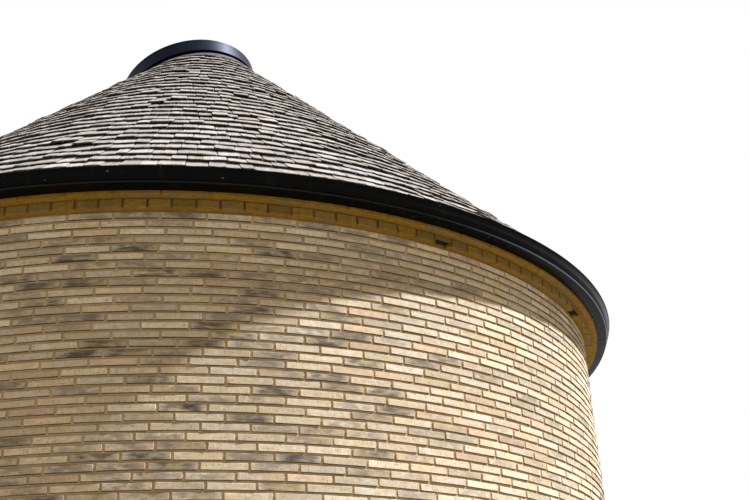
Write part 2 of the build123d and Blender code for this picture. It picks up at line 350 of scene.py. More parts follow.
buff_brick, tree, shader, where = finish("buff_brick", 0.9, Specular_IOR_Level=0.3)
marks, own = held(tree, "marks"), held(tree, "own")
pick, smudged, bright = apart(tree, marks)
along, up, _ = apart(tree, own)
drift = scattered(tree, own, marks, 37.0)
clay = shades(
    tree, pick, (0.0, (235, 206, 171)), (0.13, (242, 219, 186)), (0.3, (247, 230, 200)),
    (0.5, (250, 238, 212)), (0.68, (246, 230, 194)), (0.84, (239, 221, 194)),
    (1.0, (230, 214, 187)),
)
mottle = cloud(tree, stretched(tree, drift, (26.0, 60.0, 60.0)), 1.0, 4.0, 0.6)
mottled = shades(tree, mottle, (0.3, (212, 205, 195)), (0.62, (255, 252, 246)))
clay = over(tree, 0.75, clay, mottled, "MULTIPLY")
flash = cloud(tree, stretched(tree, drift, (13.0, 34.0, 34.0)), 1.0, 4.0, 0.65, 0.4)
middle = sums(tree, "SUBTRACT", 1.0, fade(tree, sums(tree, "ABSOLUTE", along), 0.062, 0.118))
amount = sums(tree, "MULTIPLY_ADD", middle, 0.6, 0.4)
amount = sums(tree, "MULTIPLY", fade(tree, smudged, 0.46, 0.74), amount)
smoke = sums(tree, "MULTIPLY", fade(tree, flash, 0.28, 0.6), amount)
# Painted light: kiln darkening and smoke thin out towards +x, the side the lamp lights.
lit_side_thinning = sums(tree, "MULTIPLY_ADD", fade(tree, apart(tree, where)[0], -0.4, 1.2), -0.6, 1.0)
clay = stain(tree, clay, sums(tree, "MULTIPLY", smoke, lit_side_thinning), 0.72, (124, 115, 104))
burn = cloud(tree, stretched(tree, drift, (10.0, 55.0, 40.0), (4.0, 9.0, 2.0)), 1.0, 3.0, 0.6)
burn = sums(tree, "MULTIPLY", fade(tree, burn, 0.3, 0.62), fade(tree, smudged, 0.84, 0.92))
burn = sums(tree, "MULTIPLY", burn, sums(tree, "MULTIPLY_ADD", middle, 0.8, 0.2))
burn = sums(tree, "MULTIPLY", burn, lit_side_thinning)
clay = stain(tree, clay, burn, 0.92, (84, 78, 71))
olive = cloud(tree, stretched(tree, drift, (7.0, 24.0, 20.0), (2.0, 5.0, 8.0)), 1.0, 3.0, 0.55)
clay = stain(tree, clay, fade(tree, olive, 0.47, 0.68), 0.5, (226, 202, 138))
streak = cloud(tree, stretched(tree, drift, (240.0, 14.0, 60.0)), 1.0, 2.0)
clay = stain(tree, clay, fade(tree, streak, 0.52, 0.72), 0.35, (150, 132, 110))
pits = cloud(tree, where, 150.0, 2.0, 0.5)
clay = stain(tree, clay, fade(tree, pits, 0.65, 0.695), 0.85, (84, 70, 56))
# Painted shadow: each brick's lowest edge and underside go dark brown, for the shade in the bed
# joint.
clay = stain(tree, clay, fade(tree, up, -0.014, -0.0168), 0.94, (66, 45, 20))
light = shades(tree, bright, (0.0, (220, 220, 220)), (1.0, (255, 255, 255)))
clay = over(tree, 1.0, clay, light, "MULTIPLY")
colours(tree, shader, clay, sums(tree, "MULTIPLY_ADD", mottle, 0.15, 0.8))
relief = sums(tree, "MULTIPLY_ADD", mottle, 0.8, cloud(tree, where, 210.0, 4.0, 0.7))
relief = sums(tree, "MULTIPLY_ADD", fade(tree, pits, 0.64, 0.72), -1.2, relief)
grain(tree, shader, relief, 0.65, 0.0022)

mortar, tree, shader, where = finish("mortar", 0.95, Specular_IOR_Level=0.2)
lime = shades(
    tree, cloud(tree, where, 9.0, 5.0), (0.3, (198, 167, 126)), (0.5, (212, 182, 140)),
    (0.7, (225, 196, 156)),
)
sand = cloud(tree, where, 420.0, 2.0)
sandy = shades(tree, sand, (0.35, (150, 140, 130)), (0.65, (255, 255, 250)))
lime = over(tree, 0.6, lime, sandy, "MULTIPLY")
colours(tree, shader, lime)
struck = sums(tree, "MULTIPLY_ADD", cloud(tree, where, 60.0, 4.0), 1.5, sand)
grain(tree, shader, struck, 0.7, 0.0025)

chance = np.random.default_rng(7)
bricks = [brick_unit(seed, BRICK) for seed in range(10)]
down, number_along = np.meshgrid(np.arange(1, COURSES + 1), np.arange(STRETCHERS), indexing="ij")
down, number_along = down.ravel(), number_along.ravel()
joints = (270 + (number_along + np.array(BOND)[down % 4]) * STEP) % 360
level = WALL_TOP - (down - 0.5) * COURSE
beside_door = down > COURSES - DOOR_COURSES
start, end = joints, joints + STEP
right_jamb, left_jamb = 90 - JAMB_ANGLE, 90 + JAMB_ANGLE
half_spare = JAMB_SPARE / 2
stop_right = beside_door & (abs(end - (right_jamb - half_spare)) < half_spare + JAMB_NEAR)
stop_left = beside_door & (abs(start - (left_jamb + half_spare)) < half_spare + JAMB_NEAR)
sliver_right = (start > right_jamb - JAMB_SPARE - 0.1) & (start < 90)
sliver_left = (end < left_jamb + JAMB_SPARE + 0.1) & (end > 90)
gone = beside_door & (sliver_right | sliver_left)
end = np.where(stop_right, right_jamb + JAMB_OVERRUN, end)
start = np.where(stop_left, left_jamb - JAMB_OVERRUN, start)
middle_at = (start + end) / 2
longer = (end - start) / STEP
total = len(down)
brick_marks = chance.random((total, 3))
brick_sizes = np.stack([
    longer * (1 + chance.normal(0, 0.004, total)),
    1 + chance.normal(0, 0.018, total),
    np.ones(total),
], -1)
brick_picks = chance.integers(0, len(bricks), total)
face = WALL_FACE - 0.0005 + chance.normal(0, 0.0009, total)
places = stations(
    middle_at, face, level + chance.normal(0, 0.0008, total), 0.0,
    chance.normal(0, 0.2, total), chance.normal(0, 0.22, total),
)
fillers = [brick_unit(90 + seed, JOINT_FILL, 0.0008, 0.0018) for seed in range(6)]
filler_places = stations(joints, WALL_FACE - FILL_RAKE + chance.normal(0, 0.0008, total), level)
filler_marks = chance.random((total, 3))
filler_picks = chance.integers(0, len(fillers), total)
at_door = (joints > right_jamb - JAMB_SPARE) & (joints < left_jamb + JAMB_SPARE)
vented = (down == VENT_COURSE) & (number_along % 2 == 1)
filled = ~(beside_door & at_door) & ~vented
sixth = (middle_at % 360 // 60).astype(int)
joint_sixth = (joints % 360 // 60).astype(int)
for side in range(6):
    chosen = (sixth == side) & ~gone
    name = "brick_wall_" + SIDES[side] if side in SIDES else "brick_wall_back"
    nodes = (name,) if side in SIDES else JAMB_NODES
    mesh = lay(
        name + "_bricks", bricks, brick_picks[chosen], places[chosen], brick_sizes[chosen],
        brick_marks[chosen],
    )
    bm = bmesh.new()
    bm.from_mesh(mesh)
    if side not in SIDES:
        trim_jambs(bm, DOOR_HALF, DOOR_HEAD)
    laid = keep(bm, name + "_bricks", buff_brick)
    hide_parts(*nodes)
    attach(laid, "root")
    chosen = (joint_sixth == side) & filled
    ones = np.ones((chosen.sum(), 3))
    mesh = lay(
        name + "_joints", fillers, filler_picks[chosen], filler_places[chosen], ones,
        filler_marks[chosen],
    )
    bm = bmesh.new()
    bm.from_mesh(mesh)
    raked = WALL_FACE - JOINT_RAKE
    if side in SIDES:
        ring_block(bm, WALL_BACK, raked, 0.0, WALL_TOP, side * 60, 60)
    else:
        ring_block(bm, WALL_BACK, raked, 0.0, DOOR_HEAD, 60, PIER_SWEEP)
        ring_block(bm, WALL_BACK, raked, 0.0, DOOR_HEAD, 120 - PIER_SWEEP, PIER_SWEEP)
        ring_block(bm, WALL_BACK, raked, DOOR_HEAD + HEAD_JOINT, WALL_TOP, 60, 60)
        trim_jambs(bm, DOOR_HALF + JOINT_RAKE, DOOR_HEAD)
    bmesh.ops.recalc_face_normals(bm, faces=bm.faces)
    bed = keep(bm, name + "_mortar", mortar)
    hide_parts(*nodes)
    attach(bed, "root")


# Weep vents.
# Small slotted plastic vents the colour of the mortar stand in every second upright joint of the
# third course down; they let the cavity breathe and are pushed in as the course is laid.
VENT = (0.015, 0.047)
VENT_DEPTH = 0.012
VENT_SLOTS = 5
SLOT_DEPTH, SLOT_OPENED, SLOT_WIDENED = 0.008, 0.0006, 2.1
bm = bmesh.new()
bmesh.ops.create_grid(bm, x_segments=3, y_segments=2 * VENT_SLOTS + 1, size=0.5)
bmesh.ops.scale(bm, vec=(*VENT, 1.0), verts=bm.verts)
bm.faces.ensure_lookup_table()
for corner in bm.verts:
    if abs(corner.co.x) < VENT[0] * 0.4:
        corner.co.x *= SLOT_WIDENED
openings = [
    f for f in bm.faces
    if abs(f.calc_center_median().x) < VENT[0] * 0.2
    and round(f.calc_center_median().y / VENT[1] * (2 * VENT_SLOTS + 1)) % 2 == (VENT_SLOTS + 1) % 2
]
for hole in openings:
    height = hole.calc_center_median().y
    for corner in hole.verts:
        corner.co.y += SLOT_OPENED if corner.co.y > height else -SLOT_OPENED
sunk = bmesh.ops.extrude_discrete_faces(bm, faces=openings)["faces"]
slot_ends = list({v for f in sunk for v in f.verts})
bmesh.ops.translate(bm, vec=(0, 0, -SLOT_DEPTH), verts=slot_ends)
shell = bmesh.ops.extrude_edge_only(bm, edges=[e for e in bm.edges if e.is_boundary])["geom"]
back_rim = [g for g in shell if isinstance(g, bmesh.types.BMVert)]
bmesh.ops.translate(bm, vec=(0, 0, -VENT_DEPTH), verts=back_rim)
bmesh.ops.holes_fill(bm, edges=[e for e in bm.edges if e.is_boundary], sides=0)
bmesh.ops.recalc_face_normals(bm, faces=bm.faces)
vent_unit = bpy.data.meshes.new("vent")
bm.to_mesh(vent_unit)
bm.free()
vent_plastic, tree, shader, where = finish("vent_plastic", 0.6)
tone = shades(tree, cloud(tree, where, 60.0, 4.0), (0.3, (176, 152, 116)), (0.7, (198, 174, 136)))
depth = apart(tree, held(tree, "own"))[2]
# Painted shade: the slots' sides and floors are near black, for the dark cavity behind them.
tone = over(tree, fade(tree, depth, -0.0005, -0.003), tone, srgb(14, 10, 9))
colours(tree, shader, tone)
grain(tree, shader, cloud(tree, where, 500.0), 0.3, 0.0005)
count = int(vented.sum())
vent_places = stations(joints[vented], WALL_FACE - 0.001, level[vented])
mesh = lay(
    "weep_vents", [vent_unit], np.zeros(count, int), vent_places, np.ones((count, 3)),
    chance.random((count, 3)),
)
vents = stand(mesh, "weep_vents", vent_plastic)
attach(vents, "root")


# Cornice.
# A course of headers steps out over the wall and a course of stretchers steps out over that, of a
# more ochre clay, with mortar of the same colour between them; two headers are cut short over an
# air slot. The undersides of bricks and mortar are a brighter ochre as painted light from below,
# and the slot is painted near black as painted shade.
HEADER_FACE, TOP_FACE = 3.15, 3.2
HEADER_TOP, TOP_TOP = 4.367, 4.419
HEADERS = 152
HEADER = (0.1155, 0.047, 0.16)
TOP_BRICK = (0.244, 0.0455, 0.2)
HEADER_JOINT, TOP_JOINT = 1.05, 270 + 0.91 * STEP
SLOT_ANGLES, CUT_HEIGHT = (281.7, 310.1), 0.62
BED_RAKE, CORNICE_FILL_RAKE = 0.052, 0.007
# How far behind the headers' faces the mortar's underside takes the brighter ochre of painted
# light.
SOFFIT_LIGHT_START, SOFFIT_LIGHT_END = 0.0105, 0.0125


def from_axis(tree, where):
    """How far a place is from the drum's axis."""
    x, y, _ = apart(tree, where)
    squares = sums(tree, "ADD", sums(tree, "MULTIPLY", x, x), sums(tree, "MULTIPLY", y, y))
    return sums(tree, "SQRT", squares)


cornice_brick, tree, shader, where = finish("cornice_brick", 0.88, Specular_IOR_Level=0.3)
marks, own = held(tree, "marks"), held(tree, "own")
pick, smudged, bright = apart(tree, marks)
depth = apart(tree, own)[2]
drift = scattered(tree, own, marks, 41.0)
ochre = shades(
    tree, pick, (0.0, (150, 116, 42)), (0.3, (150, 120, 48)), (0.55, (142, 117, 50)),
    (0.8, (134, 113, 54)), (1.0, (124, 103, 46)),
)
upper = fade(tree, apart(tree, where)[2], HEADER_TOP - 0.002, HEADER_TOP)
ochre = stain(tree, ochre, upper, 0.7, (144, 110, 30))
# Painted light: the faces behind the front, chiefly the undersides, are a brighter ochre for light
# from below.
ochre = stain(tree, ochre, fade(tree, depth, -0.004, -0.009), 0.8, (154, 118, 26))
# Painted shade: the cut headers are near black behind their faces, for the dark air slot under
# them.
slot_shade = sums(tree, "MULTIPLY", fade(tree, pick, 1.4, 1.6), fade(tree, depth, -0.001, -0.005))
mottle = cloud(tree, stretched(tree, drift, (30.0, 50.0, 40.0)), 1.0, 4.0, 0.6)
mottled = shades(tree, mottle, (0.3, (186, 176, 160)), (0.68, (255, 244, 220)))
ochre = over(tree, 0.8, ochre, mottled, "MULTIPLY")
smoke = cloud(tree, stretched(tree, drift, (16.0, 40.0, 30.0)), 1.0, 3.0, 0.6)
smoke = sums(tree, "MULTIPLY", fade(tree, smoke, 0.45, 0.62), fade(tree, smudged, 0.55, 0.85))
ochre = stain(tree, ochre, smoke, 0.7, (104, 98, 76))
rust = cloud(tree, where, 14.0, 3.0)
ochre = stain(tree, ochre, fade(tree, rust, 0.56, 0.7), 0.25, (168, 116, 40))
pits = cloud(tree, where, 150.0, 2.0)
ochre = stain(tree, ochre, fade(tree, pits, 0.665, 0.71), 0.7, (84, 66, 40))
ochre = over(tree, slot_shade, ochre, srgb(16, 12, 8))
colours(tree, shader, ochre, sums(tree, "MULTIPLY_ADD", mottle, 0.15, 0.78))
relief = sums(tree, "MULTIPLY_ADD", mottle, 0.8, cloud(tree, where, 210.0, 4.0, 0.7))
grain(tree, shader, relief, 0.6, 0.002)

cornice_mortar, tree, shader, where = finish("cornice_mortar", 0.95, Specular_IOR_Level=0.2)
sand = cloud(tree, where, 420.0, 2.0)
lime = shades(tree, cloud(tree, where, 9.0, 5.0), (0.3, (92, 72, 36)), (0.7, (120, 98, 54)))
upper = fade(tree, apart(tree, where)[2], HEADER_TOP - 0.003, HEADER_TOP)
radius = from_axis(tree, where)
# The top course's mortar takes its bricks' ochre; behind the headers' faces the underside is
# painted light.
top_course_and_lit_soffit = fade(tree, radius, HEADER_FACE - SOFFIT_LIGHT_START, HEADER_FACE - SOFFIT_LIGHT_END)
top_course_and_lit_soffit = sums(tree, "MAXIMUM", upper, top_course_and_lit_soffit)
lime = stain(tree, lime, top_course_and_lit_soffit, 0.85, (154, 118, 26))
sandy = shades(tree, sand, (0.35, (160, 150, 130)), (0.65, (255, 255, 250)))
lime = over(tree, 0.5, lime, sandy, "MULTIPLY")
colours(tree, shader, lime)
struck = sums(tree, "MULTIPLY_ADD", cloud(tree, where, 60.0, 4.0), 1.5, sand)
grain(tree, shader, struck, 0.7, 0.0025)


def cornice_course(name, cad_node, count, first_joint, size, face_at, bottom, top, short=()):
    """A ring of bricks with filled upright joints in front of a bed of mortar."""
    pitch = 360 / count
    joint = first_joint + np.arange(count) * pitch
    centre = joint + pitch / 2
    cut = np.array([
        any(abs((c - s + 180) % 360 - 180) < pitch / 2 for s in short) for c in centre
    ])
    scales = np.stack([
        1 + chance.normal(0, 0.006, count),
        np.where(cut, CUT_HEIGHT, 1 + chance.normal(0, 0.01, count)),
        np.ones(count),
    ], -1)
    raised = np.where(cut, (1 - CUT_HEIGHT) / 2 * size[1], 0)
    height = (bottom + top) / 2 + raised + chance.normal(0, 0.0006, count)
    face_radius = face_at - 0.001 + chance.normal(0, 0.0012, count)
    units = [brick_unit(200 + seed, size, 0.0018, 0.0014) for seed in range(8)]
    spots = stations(
        centre, face_radius, height, 0.0, chance.normal(0, 0.25, count),
        chance.normal(0, 0.3, count),
    )
    picks = chance.integers(0, len(units), count)
    marked = chance.random((count, 3))
    marked[cut, 0] = 2.0
    mesh = lay(name, units, picks, spots, scales, marked)
    ring = stand(mesh, name, cornice_brick)
    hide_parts(cad_node)
    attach(ring, "root")
    width = 2 * pi * face_at / count - size[0] + 0.006
    fill = (width, size[1] + 0.001, size[2] * 0.8)
    plugs = [brick_unit(230 + seed, fill, 0.0008, 0.0016) for seed in range(4)]
    fill_radius = face_at - CORNICE_FILL_RAKE + chance.normal(0, 0.0015, count)
    spots = stations(joint, fill_radius, (bottom + top) / 2)
    picks = chance.integers(0, len(plugs), count)
    mesh = lay(name, plugs, picks, spots, np.ones((count, 3)), chance.random((count, 3)))
    bm = bmesh.new()
    bm.from_mesh(mesh)
    for half_turn in (0, 180):
        ring_block(bm, WALL_BACK, face_at - BED_RAKE, bottom, top, half_turn, 180)
    bmesh.ops.recalc_face_normals(bm, faces=bm.faces)
    bed = keep(bm, name + "_mortar", cornice_mortar)
    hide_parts(cad_node)
    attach(bed, "root")


cornice_course(
    "cornice_headers", "cornice_header_course", HEADERS, HEADER_JOINT, HEADER, HEADER_FACE,
    WALL_TOP, HEADER_TOP, SLOT_ANGLES,
)
cornice_course(
    "cornice_stretchers", "cornice_top_course", STRETCHERS, TOP_JOINT, TOP_BRICK, TOP_FACE,
    HEADER_TOP, TOP_TOP,
)


# Eaves gutter.
# Six lengths of pressed sheet metal with an ogee front and a rolled bead under it, painted black,
# lapped at their ends and hung round the cornice's top course.
GUTTER_BACK, GUTTER_FOOT = 3.2, 4.385
GUTTER_TOP = 4.472
SOLE_END, BEAD_AT, GROOVE_TOP = (3.27, 4.397), (3.27, 4.402), (3.27, 4.411)
BELLY_END, LIP = (3.2903, 4.4464), (3.305, 4.481)
HEEL, HEEL_BULGE, BELLY_BULGE, LIP_HOLLOW = 0.004, 0.0012, 0.006, -0.003
SHEET = 0.003
BEAD = 0.0055
LENGTHS, FIRST_JOINT, END_GAP = 6, 265.6, 0.02
LAP, LAP_DROP = 0.7, 0.0016


def arc(start, end, bulge, steps):
    """Points of a shallow arc from start to end, bulging to the right by so much."""
    start, end = Vector(start), Vector(end)
    chord = end - start
    right = Vector((chord.y, -chord.x)).normalized()
    return [
        start + chord * t + right * bulge * (1 - (2 * t - 1) ** 2)
        for t in (i / steps for i in range(1, steps + 1))
    ]


heel = (GUTTER_BACK, GUTTER_FOOT + HEEL)
ogee = [Vector((GUTTER_BACK, GUTTER_TOP)), Vector(heel)]
ogee += arc(heel, (GUTTER_BACK + HEEL, GUTTER_FOOT), HEEL_BULGE, 3)
ogee += [Vector(SOLE_END), Vector(GROOVE_TOP)]
ogee += arc(GROOVE_TOP, BELLY_END, BELLY_BULGE, 9)
ogee += arc(BELLY_END, LIP, LIP_HOLLOW, 6)
black_paint, tree, shader, where = finish("black_gutter_paint", 0.3, Specular_IOR_Level=0.08)
dust = cloud(tree, where, 5.0, 6.0, 0.65)
streak = cloud(tree, stretched(tree, where, (14.0, 14.0, 1.6)), 1.0, 4.0, 0.6)
paint = shades(tree, dust, (0.3, (5, 5, 6)), (0.55, (8, 8, 8)), (0.75, (17, 16, 14)))
paint = stain(tree, paint, fade(tree, streak, 0.55, 0.75), 0.4, (38, 36, 32))
flecks = cloud(tree, where, 38.0, 2.0)
paint = stain(tree, paint, fade(tree, flecks, 0.75, 0.775), 0.6, (150, 146, 138))
x, _, z = apart(tree, where)
front = fade(tree, from_axis(tree, where), BEAD_AT[0] - 0.0005, BEAD_AT[0] + 0.001)
bead_top = BEAD_AT[1] + BEAD
on_bead = sums(tree, "MULTIPLY", front, fade(tree, z, bead_top + 0.001, bead_top + 0.0001))
# Painted reflection: the bead grows pale blue towards +x, for the bright sky it mirrors on that
# side.
painted_sky_reflection = over(tree, fade(tree, x, 0.4, 2.0), srgb(12, 13, 16), srgb(84, 98, 122))
paint = over(tree, on_bead, paint, painted_sky_reflection)
colours(tree, shader, paint, sums(tree, "MULTIPLY_ADD", dust, 0.3, 0.14))
gloss = sums(tree, "MULTIPLY_ADD", on_bead, 0.1, 0.04)
tree.links.new(gloss, shader.inputs["Specular IOR Level"])
brushed = sums(tree, "MULTIPLY_ADD", streak, 0.6, cloud(tree, where, 90.0, 3.0))
grain(tree, shader, brushed, 0.25, 0.0015)
for number in range(LENGTHS):
    begin = FIRST_JOINT + number * 360 / LENGTHS
    sweep = 360 / LENGTHS - END_GAP
    bm = bmesh.new()
    for drop, first, through in ((0.0, begin, sweep), (LAP_DROP, begin + sweep - LAP, LAP)):
        at = Matrix.Rotation(radians(first), 3, "Z")
        line = [bm.verts.new(at @ Vector((p.x, 0, p.y - drop))) for p in ogee]
        edges = [bm.edges.new(pair) for pair in zip(line, line[1:])]
        bmesh.ops.spin(
            bm, geom=[*line, *edges], cent=(0, 0, 0), axis=(0, 0, 1), angle=radians(through),
            steps=max(2, round(through)), use_duplicate=False,
        )
    bmesh.ops.recalc_face_normals(bm, faces=bm.faces)
    if any(f.normal.z > 0.8 for f in bm.faces):
        bmesh.ops.reverse_faces(bm, faces=bm.faces)
    bmesh.ops.solidify(bm, geom=list(bm.faces), thickness=SHEET)
    rim = bmesh.ops.create_circle(bm, cap_ends=True, segments=12, radius=BEAD)["verts"]
    upended = Matrix.Rotation(radians(90), 3, "X")
    bmesh.ops.rotate(bm, cent=(0, 0, 0), matrix=upended, verts=rim)
    bmesh.ops.translate(bm, vec=(BEAD_AT[0], 0, BEAD_AT[1]), verts=rim)
    at = Matrix.Rotation(radians(begin), 3, "Z")
    bmesh.ops.rotate(bm, cent=(0, 0, 0), matrix=at, verts=rim)
    rim_edges = {e for v in rim for e in v.link_edges}
    rim_faces = {f for v in rim for f in v.link_faces}
    bmesh.ops.spin(
        bm, geom=[*rim, *rim_edges, *rim_faces], cent=(0, 0, 0), axis=(0, 0, 1),
        angle=radians(sweep), steps=60, use_duplicate=False,
    )
    bmesh.ops.recalc_face_normals(bm, faces=bm.faces)
    length = keep(bm, f"gutter_length_{number + 1}_sheet", black_paint, smooth=True)
    fold = length.modifiers.new("folds", "EDGE_SPLIT")
    fold.split_angle = radians(32)
    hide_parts(f"gutter_length_{number + 1}")
    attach(length, "root")


# Rainwater pipe and its clips.
# A round metal pipe drops from the gutter at the back, held off the wall by three clips on
# screwed plates, all painted black with the gutter.


def dress(cad_node, material):
    """Give a node kept from the solid model its finish."""
    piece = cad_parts[cad_node]
    piece.data.materials.clear()
    piece.data.materials.append(material)


for name in ("rainwater_pipe", "pipe_clips"):
    dress(name, black_paint)


# Shingled roof.
# Riven wooden shingles of many widths, weathered silver, lap down the cone in level rings at one
# even gauge, nailed to the deck, with two more rings doubled under the first at the eaves. Their
# heads are cut along the rooflight's frame, below the strip of lead that shows there.
ROOF_PITCH = radians(44.5)
EAVES_RADIUS, EAVES_HEIGHT = 3.25, 4.521
GAUGE = 0.132
SHINGLE_LENGTH = 0.27
SHINGLE = 0.0168
MEAN_WIDTH, SHINGLE_GAP = 0.103, 0.004
LIFT, LIFTED_SHARE, LIFTED_BY = 0.002, 0.08, 0.006
SLIP, SLIP_WAVE = 0.0045, 0.0035
ROOFLIGHT_BEARING, ROOFLIGHT_TILT = radians(120), radians(16)
ROOFLIGHT_DROP = 0.532
ROOFLIGHT_LEVEL = EAVES_HEIGHT + EAVES_RADIUS * tan(ROOF_PITCH) - ROOFLIGHT_DROP
UNDER_FRAME = 0.005
LEAD_SHOWN = 0.07
FRAME_OVERHANG = 0.021
FRAME_BAND = 0.045
spread = 1 / tan(ROOF_PITCH)
apex = EAVES_HEIGHT + EAVES_RADIUS / spread
reach = spread * (apex - ROOFLIGHT_LEVEL) + FRAME_OVERHANG
kerb_low = reach / (1 - spread * tan(ROOFLIGHT_TILT))
kerb_high = reach / (1 + spread * tan(ROOFLIGHT_TILT))
kerb_shift = (kerb_low - kerb_high) / 2
kerb_long = (kerb_low + kerb_high) / 2 / cos(ROOFLIGHT_TILT)
kerb_short = kerb_long * sqrt(1 - (sin(ROOFLIGHT_TILT) / cos(ROOF_PITCH)) ** 2)
level_way = np.array((cos(ROOFLIGHT_BEARING), sin(ROOFLIGHT_BEARING), 0))
upright = np.array((0, 0, 1))
kerb_fall = kerb_shift * tan(ROOFLIGHT_TILT)
kerb_middle = level_way * kerb_shift + upright * (ROOFLIGHT_LEVEL - kerb_fall)
kerb_up = level_way * sin(ROOFLIGHT_TILT) + upright * cos(ROOFLIGHT_TILT)
kerb_along = level_way * cos(ROOFLIGHT_TILT) - upright * sin(ROOFLIGHT_TILT)
kerb_across = np.cross(kerb_along, kerb_up)


def shingle_unit(seed):
    """One riven shingle, a unit wide, with a butt at y = 0 worn round and a wavy face."""
    luck = np.random.default_rng(seed)
    across = (-0.5, -0.43, -0.16, 0.16, 0.43, 0.5)
    upward = (0.0, 0.005, 0.018, 0.06, 0.14, SHINGLE_LENGTH)
    worn = (-0.0034, -0.0008, 0.0, 0.0004, 0.0, 0.0)
    bm = bmesh.new()
    bmesh.ops.create_grid(bm, x_segments=5, y_segments=5, size=0.5)
    columns = sorted({round(v.co.x, 4) for v in bm.verts})
    rows = sorted({round(v.co.y, 4) for v in bm.verts})
    butt = luck.normal(0, 0.0035, 6) + np.array((0.008, 0.0015, 0, 0, 0.0015, 0.008))
    butt += np.linspace(-1, 1, 6) * luck.normal(0, 0.004)
    wave = luck.normal(0, 0.0009, (6, 6))
    lean_left, lean_right = luck.normal(0, 0.018, 6), luck.normal(0, 0.018, 6)
    for v in bm.verts:
        i = int(np.argmin([abs(v.co.x - c) for c in columns]))
        j = int(np.argmin([abs(v.co.y - r) for r in rows]))
        side_wear = -0.0018 if i in (0, 5) else 0.0
        shift = lean_left[j] if i == 0 else lean_right[j] if i == 5 else 0.0
        v.co = (
            across[i] + shift * 0.6,
            upward[j] + butt[i] * max(0.0, 1 - upward[j] / 0.1),
            worn[j] + side_wear + wave[i, j],
        )
    made = bmesh.ops.extrude_face_region(bm, geom=list(bm.faces), use_keep_orig=True)["geom"]
    under = [g for g in made if isinstance(g, bmesh.types.BMVert)]
    for v in under:
        v.co.z = -SHINGLE + 0.0004
        v.co.y += 0.001
    soffit = [g for g in made if isinstance(g, bmesh.types.BMFace)]
    bmesh.ops.dissolve_faces(bm, faces=soffit, use_verts=False)
    bmesh.ops.recalc_face_normals(bm, faces=bm.faces)
    mesh = bpy.data.meshes.new("unit")
    bm.to_mesh(mesh)
    bm.free()
    return mesh


weathered_shingle, tree, shader, where = finish(
    "weathered_shingle", 0.9, Specular_IOR_Level=0.25, Sheen_Weight=0.4, Sheen_Roughness=0.4
)
marks, own = held(tree, "marks"), held(tree, "own")
pick, _, bright = apart(tree, marks)
_, upward, outward = apart(tree, own)
drift = scattered(tree, own, marks, 29.0)
silver = shades(
    tree, pick, (0.0, (165, 154, 142)), (0.2, (189, 181, 168)), (0.45, (203, 197, 186)),
    (0.65, (183, 174, 161)), (0.85, (189, 177, 157)), (1.0, (165, 158, 148)),
)
fibre = cloud(tree, stretched(tree, drift, (150.0, 7.0, 60.0)), 1.0, 4.0, 0.6)
fibrous = shades(tree, fibre, (0.3, (172, 165, 160)), (0.62, (255, 253, 250)))
silver = over(tree, 0.8, silver, fibrous, "MULTIPLY")
patch = cloud(tree, where, 7.0, 4.0, 0.6)
silver = stain(tree, silver, fade(tree, patch, 0.5, 0.66), 0.55, (172, 154, 130))
moss = cloud(tree, where, 23.0, 4.0, 0.65)
silver = stain(tree, silver, fade(tree, moss, 0.58, 0.69), 0.55, (146, 134, 102))
# Painted shadow, partly grime: the face goes near black just below the butt of the course above.
grime_and_butt_shadow = fade(tree, sums(tree, "MULTIPLY_ADD", fibre, 0.03, upward), 0.106, 0.128)
silver = stain(tree, silver, grime_and_butt_shadow, 0.96, (18, 15, 13))
# Painted shade: the butt's end face, which faces down away from the lamp, is dark brown-grey.
silver = stain(tree, silver, fade(tree, outward, -0.0028, -0.0055), 0.94, (34, 28, 24))
# Painted shadow: the lower part of the butt and the underside beneath it are near black.
silver = over(tree, fade(tree, outward, -0.008, -0.017), silver, srgb(7, 6, 5))
light = shades(tree, bright, (0.0, (218, 218, 218)), (1.0, (255, 255, 255)))
silver = over(tree, 1.0, silver, light, "MULTIPLY")
colours(tree, shader, silver, sums(tree, "MULTIPLY_ADD", fibre, 0.2, 0.75))
riven = sums(tree, "MULTIPLY_ADD", cloud(tree, where, 120.0, 3.0), 0.5, fibre)
grain(tree, shader, riven, 0.7, 0.003)

shingles = [shingle_unit(300 + seed) for seed in range(16)]
slope_lean = 90 - degrees(ROOF_PITCH)
tip_in = degrees(atan(SHINGLE / GAUGE))
rows = []
top_row = int((EAVES_RADIUS - kerb_high) / (GAUGE * cos(ROOF_PITCH))) + 2
for row in range(-2, top_row):
    run = max(row, 0) * GAUGE
    radius = EAVES_RADIUS - run * cos(ROOF_PITCH)
    height = EAVES_HEIGHT + run * sin(ROOF_PITCH)
    sunk_by = -min(row, 0) * SHINGLE
    count = max(10, round(2 * pi * radius / MEAN_WIDTH))
    widths = np.clip(chance.lognormal(0, 0.27, count), 0.62, 1.75)
    widths *= 360 / widths.sum()
    ends = chance.uniform(0, 360) + np.cumsum(widths)
    centres = ends - widths / 2
    lift = chance.normal(0, LIFT, count) + (chance.random(count) < LIFTED_SHARE) * LIFTED_BY
    wave = chance.uniform(0, 2 * pi, 3)
    slip = chance.normal(0, SLIP, count) + sum(
        SLIP_WAVE * np.sin(np.radians(centres) * turns + phase)
        for turns, phase in zip((5, 11, 23), wave)
    )
    r = radius - sunk_by * sin(ROOF_PITCH) + lift * sin(ROOF_PITCH) - slip * cos(ROOF_PITCH)
    h = height - sunk_by * cos(ROOF_PITCH) + lift * cos(ROOF_PITCH) + slip * sin(ROOF_PITCH)
    breadths = np.radians(widths) * radius - SHINGLE_GAP
    rows.append(np.stack([centres % 360, r, h, breadths, np.full(count, radius)], -1))
rows = np.concatenate(rows)
total = len(rows)
shingle_places = stations(
    rows[:, 0], rows[:, 1], rows[:, 2], slope_lean + tip_in + chance.normal(0, 0.7, total),
    chance.normal(0, 1.3, total), chance.normal(0, 1.1, total),
)
shingle_sizes = np.stack([rows[:, 3], np.ones(total), np.ones(total)], -1)
